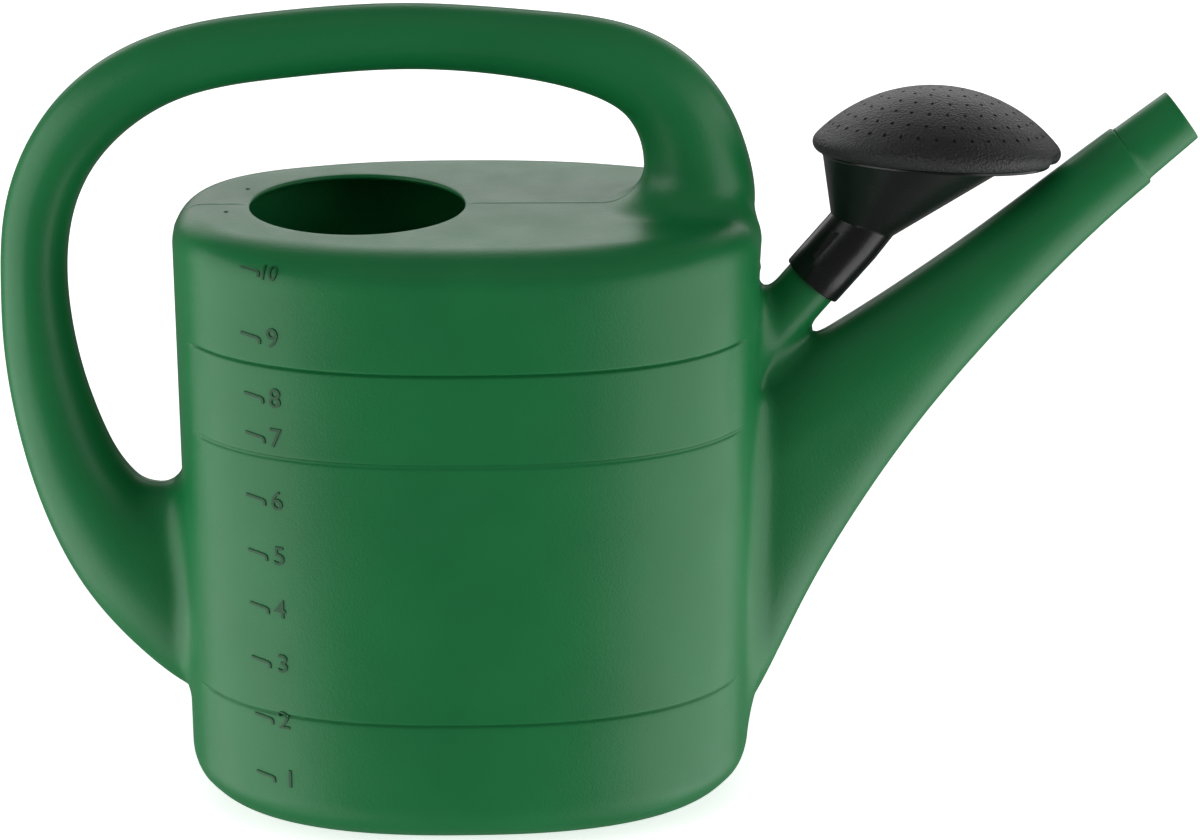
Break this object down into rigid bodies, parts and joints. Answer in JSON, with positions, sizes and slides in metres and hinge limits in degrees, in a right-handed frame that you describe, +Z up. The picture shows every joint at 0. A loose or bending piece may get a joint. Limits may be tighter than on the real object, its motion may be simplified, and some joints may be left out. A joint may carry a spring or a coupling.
{
  "type": "watering can",
  "caption": "Oval plastic garden watering can with a hollow looped handle, a long tapered spout and a removable perforated rose parked on a stub behind the spout.",
  "frame": {"origin": "centre of the bounding box, on the surface that the can stands on", "axes": "+Z up, +X from the handle towards the spout, +Y across the tank; the litre scale is on the -Y side"},
  "size_m": [0.5239, 0.1756, 0.3602],
  "materials": {
    "green_plastic": "satin blow-moulded polyethylene with soft sheen",
    "black_plastic": "black injection-moulded plastic, satin, with a finely grained face"
  },
  "bodies": {
    "can": {"tank_wall": "green_plastic", "tank_top": "green_plastic", "tank_base": "green_plastic", "handle": "green_plastic", "spout": "green_plastic", "rose_peg": "green_plastic"},
    "socket": {"rose_socket": "black_plastic"},
    "funnel": {"rose_funnel": "black_plastic"},
    "face": {"rose_face": "black_plastic"}
  },
  "joints": [
    {"name": "rose_pull", "type": "slide", "parent": "can", "child": "socket", "axis": [0.6388, 0, 0.7694], "range_m": [0, 0.08]},
    {"name": "rose_turn", "type": "hinge", "parent": "socket", "child": "funnel", "pos_m": [0.09475, 0, 0.23555], "axis": [0.6388, 0, 0.7694], "range_deg": [-25, 45]},
    {"name": "face_unclip", "type": "slide", "parent": "funnel", "child": "face", "axis": [0.0418, 0.1277, 0.9909], "range_m": [0, 0.03]}
  ]
}
